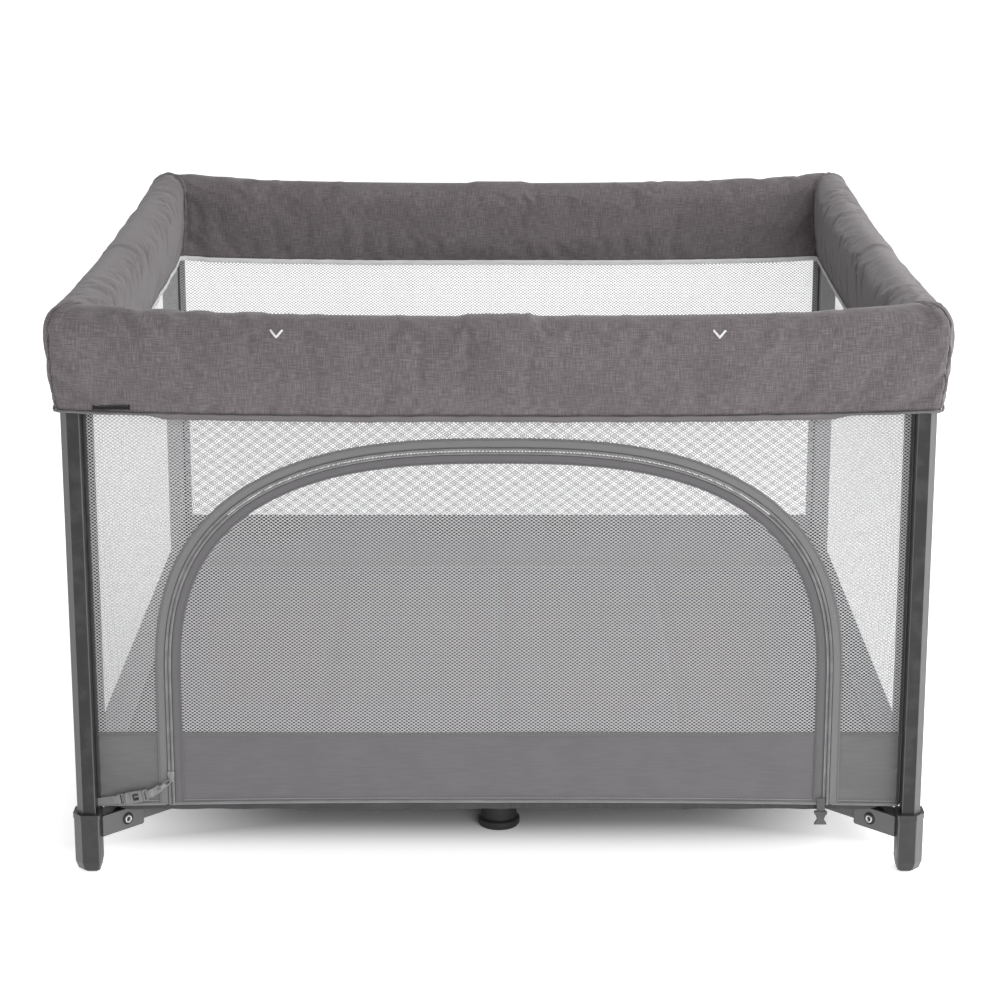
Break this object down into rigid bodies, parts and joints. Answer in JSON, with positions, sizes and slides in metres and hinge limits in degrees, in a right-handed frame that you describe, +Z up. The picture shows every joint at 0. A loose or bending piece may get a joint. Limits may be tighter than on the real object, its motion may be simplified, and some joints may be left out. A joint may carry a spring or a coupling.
{
  "type": "folding playpen",
  "caption": "Square folding playpen with padded rails, net walls, a zipped arch door, a panelled mat and a floor frame that folds with its rails.",
  "frame": {"origin": "on the ground under the middle of the pen", "axes": "+Z up, the zipped doorway faces -Y, +X to the right as seen from the doorway"},
  "size_m": [1.114, 1.114, 0.745],
  "materials": {
    "frame_tube": "satin powder coat",
    "moulding": "fine moulded grain",
    "black_plastic": "matt",
    "padding": "heathered melange weave",
    "netting": "knitted diamond netting",
    "skirt": "plain woven polyester",
    "mat": "plain woven cover",
    "zip": "semi gloss",
    "webbing": "ribbed narrow webbing"
  },
  "bodies": {
    "root": {"post_front_left": "frame_tube", "foot_front_left": "moulding", "bracket_front_left": "moulding", "corner_pad_front_left": "padding", "wall_front": "netting", "wall_left": "netting", "strap_buckle": "webbing"},
    "arm_front_left": {"floor_arm_front_left": "frame_tube"},
    "arm_front_right": {"floor_arm_front_right": "frame_tube"},
    "arm_back_right": {"floor_arm_back_right": "frame_tube"},
    "arm_back_left": {"floor_arm_back_left": "frame_tube"},
    "hub": {"hub": "black_plastic", "floor_sheet": "skirt"},
    "support_front": {"support_front": "black_plastic"},
    "support_back": {"support_back": "black_plastic"},
    "post_front_right": {"post_front_right": "frame_tube", "foot_front_right": "moulding", "bracket_front_right": "moulding", "corner_pad_front_right": "padding", "wall_right": "netting"},
    "post_back_right": {"post_back_right": "frame_tube", "foot_back_right": "moulding", "bracket_back_right": "moulding", "corner_pad_back_right": "padding"},
    "post_back_left": {"post_back_left": "frame_tube", "foot_back_left": "moulding", "bracket_back_left": "moulding", "corner_pad_back_left": "padding", "wall_back": "netting"},
    "rail_front_left": {"rail_front_left": "frame_tube", "pad_front_left": "padding"},
    "rail_front_right": {"rail_front_right": "frame_tube", "pad_front_right": "padding"},
    "rail_right_front": {"rail_right_front": "frame_tube", "pad_right_front": "padding"},
    "rail_right_back": {"rail_right_back": "frame_tube", "pad_right_back": "padding"},
    "rail_back_right": {"rail_back_right": "frame_tube", "pad_back_right": "padding"},
    "rail_back_left": {"rail_back_left": "frame_tube", "pad_back_left": "padding"},
    "rail_left_back": {"rail_left_back": "frame_tube", "pad_left_back": "padding"},
    "rail_left_front": {"rail_left_front": "frame_tube", "pad_left_front": "padding"},
    "latch_front": {"latch_front": "black_plastic"},
    "release_front": {"release_front": "black_plastic"},
    "latch_right": {"latch_right": "black_plastic"},
    "release_right": {"release_right": "black_plastic"},
    "latch_back": {"latch_back": "black_plastic"},
    "release_back": {"release_back": "black_plastic"},
    "latch_left": {"latch_left": "black_plastic"},
    "release_left": {"release_left": "black_plastic"},
    "mat_outer_left": {"mat_outer_left": "mat"},
    "mat_inner_left": {"mat_inner_left": "mat"},
    "mat_inner_right": {"mat_inner_right": "mat"},
    "mat_outer_right": {"mat_outer_right": "mat"},
    "door": {"door": "netting"},
    "zip_slider": {"zip_slider": "zip"},
    "buckle_tongue": {"buckle_tongue": "webbing"}
  },
  "joints": [
    {"name": "frame_fold", "type": "hinge", "parent": "root", "child": "arm_front_left", "pos_m": [-0.49182, -0.49182, 0.058], "axis": [0.7071, -0.7071, 0], "range_deg": [0, 84], "deforming": ["wall_front", "wall_left", "wall_right", "wall_back", "floor_sheet", "mat_outer_left", "mat_inner_left", "mat_inner_right", "mat_outer_right", "door", "zip_slider", "strap_buckle", "buckle_tongue", "pad_front_left", "pad_front_right", "pad_right_front", "pad_right_back", "pad_back_right", "pad_back_left", "pad_left_back", "pad_left_front", "corner_pad_front_left", "corner_pad_front_right", "corner_pad_back_right", "corner_pad_back_left"]},
    {"name": "hub_level", "type": "hinge", "parent": "arm_front_left", "child": "hub", "pos_m": [-0.05582, -0.05582, 0.058], "axis": [0.7071, -0.7071, 0], "range_deg": [-85, 0]},
    {"name": "arm_fold_front_right", "type": "hinge", "parent": "hub", "child": "arm_front_right", "pos_m": [0.05582, -0.05582, 0.058], "axis": [0.7071, 0.7071, 0], "range_deg": [0, 85]},
    {"name": "post_level_front_right", "type": "hinge", "parent": "arm_front_right", "child": "post_front_right", "pos_m": [0.49182, -0.49182, 0.058], "axis": [0.7071, 0.7071, 0], "range_deg": [-85, 0]},
    {"name": "arm_fold_back_right", "type": "hinge", "parent": "hub", "child": "arm_back_right", "pos_m": [0.05582, 0.05582, 0.058], "axis": [-0.7071, 0.7071, 0], "range_deg": [0, 85]},
    {"name": "post_level_back_right", "type": "hinge", "parent": "arm_back_right", "child": "post_back_right", "pos_m": [0.49182, 0.49182, 0.058], "axis": [-0.7071, 0.7071, 0], "range_deg": [-85, 0]},
    {"name": "arm_fold_back_left", "type": "hinge", "parent": "hub", "child": "arm_back_left", "pos_m": [-0.05582, 0.05582, 0.058], "axis": [-0.7071, -0.7071, 0], "range_deg": [0, 85]},
    {"name": "post_level_back_left", "type": "hinge", "parent": "arm_back_left", "child": "post_back_left", "pos_m": [-0.49182, 0.49182, 0.058], "axis": [-0.7071, -0.7071, 0], "range_deg": [-85, 0]},
    {"name": "support_fold_front", "type": "hinge", "parent": "hub", "child": "support_front", "pos_m": [0, -0.075, 0.058], "axis": [1, 0, 0], "range_deg": [0, 85]},
    {"name": "support_fold_back", "type": "hinge", "parent": "hub", "child": "support_back", "pos_m": [0, 0.075, 0.058], "axis": [-1, 0, 0], "range_deg": [0, 85]},
    {"name": "rail_fold_front_left", "type": "hinge", "parent": "root", "child": "rail_front_left", "pos_m": [-0.461, -0.53, 0.705], "axis": [0, 1, 0], "range_deg": [0, 85]},
    {"name": "rail_fold_front_right", "type": "hinge", "parent": "post_front_right", "child": "rail_front_right", "pos_m": [0.461, -0.53, 0.705], "axis": [0, -1, 0], "range_deg": [0, 85]},
    {"name": "rail_fold_right_front", "type": "hinge", "parent": "post_front_right", "child": "rail_right_front", "pos_m": [0.53, -0.461, 0.705], "axis": [-1, 0, 0], "range_deg": [0, 85]},
    {"name": "rail_fold_right_back", "type": "hinge", "parent": "post_back_right", "child": "rail_right_back", "pos_m": [0.53, 0.461, 0.705], "axis": [1, 0, 0], "range_deg": [0, 85]},
    {"name": "rail_fold_back_right", "type": "hinge", "parent": "post_back_right", "child": "rail_back_right", "pos_m": [0.461, 0.53, 0.705], "axis": [0, -1, 0], "range_deg": [0, 85]},
    {"name": "rail_fold_back_left", "type": "hinge", "parent": "post_back_left", "child": "rail_back_left", "pos_m": [-0.461, 0.53, 0.705], "axis": [0, 1, 0], "range_deg": [0, 85]},
    {"name": "rail_fold_left_back", "type": "hinge", "parent": "post_back_left", "child": "rail_left_back", "pos_m": [-0.53, 0.461, 0.705], "axis": [1, 0, 0], "range_deg": [0, 85]},
    {"name": "rail_fold_left_front", "type": "hinge", "parent": "root", "child": "rail_left_front", "pos_m": [-0.53, -0.461, 0.705], "axis": [-1, 0, 0], "range_deg": [0, 85]},
    {"name": "latch_level_front", "type": "hinge", "parent": "rail_front_left", "child": "latch_front", "pos_m": [-0.025, -0.53, 0.705], "axis": [0, 1, 0], "range_deg": [-85, 0]},
    {"name": "press_front", "type": "slide", "parent": "latch_front", "child": "release_front", "axis": [0, 0, 1], "range_m": [0, 0.004], "stiffness_N_per_m": 400, "springref_m": -0.001},
    {"name": "latch_level_right", "type": "hinge", "parent": "rail_right_front", "child": "latch_right", "pos_m": [0.53, -0.025, 0.705], "axis": [-1, 0, 0], "range_deg": [-85, 0]},
    {"name": "press_right", "type": "slide", "parent": "latch_right", "child": "release_right", "axis": [0, 0, 1], "range_m": [0, 0.004], "stiffness_N_per_m": 400, "springref_m": -0.001},
    {"name": "latch_level_back", "type": "hinge", "parent": "rail_back_right", "child": "latch_back", "pos_m": [0.025, 0.53, 0.705], "axis": [0, -1, 0], "range_deg": [-85, 0]},
    {"name": "press_back", "type": "slide", "parent": "latch_back", "child": "release_back", "axis": [0, 0, 1], "range_m": [0, 0.004], "stiffness_N_per_m": 400, "springref_m": -0.001},
    {"name": "latch_level_left", "type": "hinge", "parent": "rail_left_back", "child": "latch_left", "pos_m": [-0.53, 0.025, 0.705], "axis": [1, 0, 0], "range_deg": [-85, 0]},
    {"name": "press_left", "type": "slide", "parent": "latch_left", "child": "release_left", "axis": [0, 0, 1], "range_m": [0, 0.004], "stiffness_N_per_m": 400, "springref_m": -0.001},
    {"name": "mat_fold_inner_left", "type": "hinge", "parent": "hub", "child": "mat_inner_left", "pos_m": [0, 0, 0.098], "axis": [0, 1, 0], "range_deg": [0, 85]},
    {"name": "mat_fold_inner_right", "type": "hinge", "parent": "hub", "child": "mat_inner_right", "pos_m": [0, 0, 0.098], "axis": [0, -1, 0], "range_deg": [0, 85]},
    {"name": "mat_fold_outer_left", "type": "hinge", "parent": "mat_inner_left", "child": "mat_outer_left", "pos_m": [-0.254, 0, 0.0775], "axis": [0, -1, 0], "range_deg": [0, 170]},
    {"name": "mat_fold_outer_right", "type": "hinge", "parent": "mat_inner_right", "child": "mat_outer_right", "pos_m": [0.254, 0, 0.0775], "axis": [0, 1, 0], "range_deg": [0, 170]},
    {"name": "door_open", "type": "hinge", "parent": "root", "child": "door", "pos_m": [0, -0.5167, 0.082], "axis": [1, 0, 0], "range_deg": [0, 95]},
    {"name": "zip_slide", "type": "slide", "parent": "root", "child": "zip_slider", "axis": [0, 0, 1], "range_m": [0, 0.11]},
    {"name": "buckle_release", "type": "slide", "parent": "root", "child": "buckle_tongue", "axis": [0.986, 0, 0.1668], "range_m": [0, 0.014]}
  ],
  "couplings": [
    {"joint": "hub_level", "follows": "frame_fold", "ratio": -1},
    {"joint": "arm_fold_front_right", "follows": "frame_fold", "ratio": 1},
    {"joint": "post_level_front_right", "follows": "frame_fold", "ratio": -1},
    {"joint": "arm_fold_back_right", "follows": "frame_fold", "ratio": 1},
    {"joint": "post_level_back_right", "follows": "frame_fold", "ratio": -1},
    {"joint": "arm_fold_back_left", "follows": "frame_fold", "ratio": 1},
    {"joint": "post_level_back_left", "follows": "frame_fold", "ratio": -1},
    {"joint": "support_fold_front", "follows": "frame_fold", "ratio": 1},
    {"joint": "support_fold_back", "follows": "frame_fold", "ratio": 1},
    {"joint": "rail_fold_front_left", "follows": "frame_fold", "ratio": 1},
    {"joint": "rail_fold_front_right", "follows": "frame_fold", "ratio": 1},
    {"joint": "rail_fold_right_front", "follows": "frame_fold", "ratio": 1},
    {"joint": "rail_fold_right_back", "follows": "frame_fold", "ratio": 1},
    {"joint": "rail_fold_back_right", "follows": "frame_fold", "ratio": 1},
    {"joint": "rail_fold_back_left", "follows": "frame_fold", "ratio": 1},
    {"joint": "rail_fold_left_back", "follows": "frame_fold", "ratio": 1},
    {"joint": "rail_fold_left_front", "follows": "frame_fold", "ratio": 1},
    {"joint": "latch_level_front", "follows": "frame_fold", "ratio": -1},
    {"joint": "latch_level_right", "follows": "frame_fold", "ratio": -1},
    {"joint": "latch_level_back", "follows": "frame_fold", "ratio": -1},
    {"joint": "latch_level_left", "follows": "frame_fold", "ratio": -1},
    {"joint": "mat_fold_inner_left", "follows": "frame_fold", "ratio": 1},
    {"joint": "mat_fold_inner_right", "follows": "frame_fold", "ratio": 1},
    {"joint": "mat_fold_outer_left", "follows": "frame_fold", "ratio": 2},
    {"joint": "mat_fold_outer_right", "follows": "frame_fold", "ratio": 2}
  ]
}
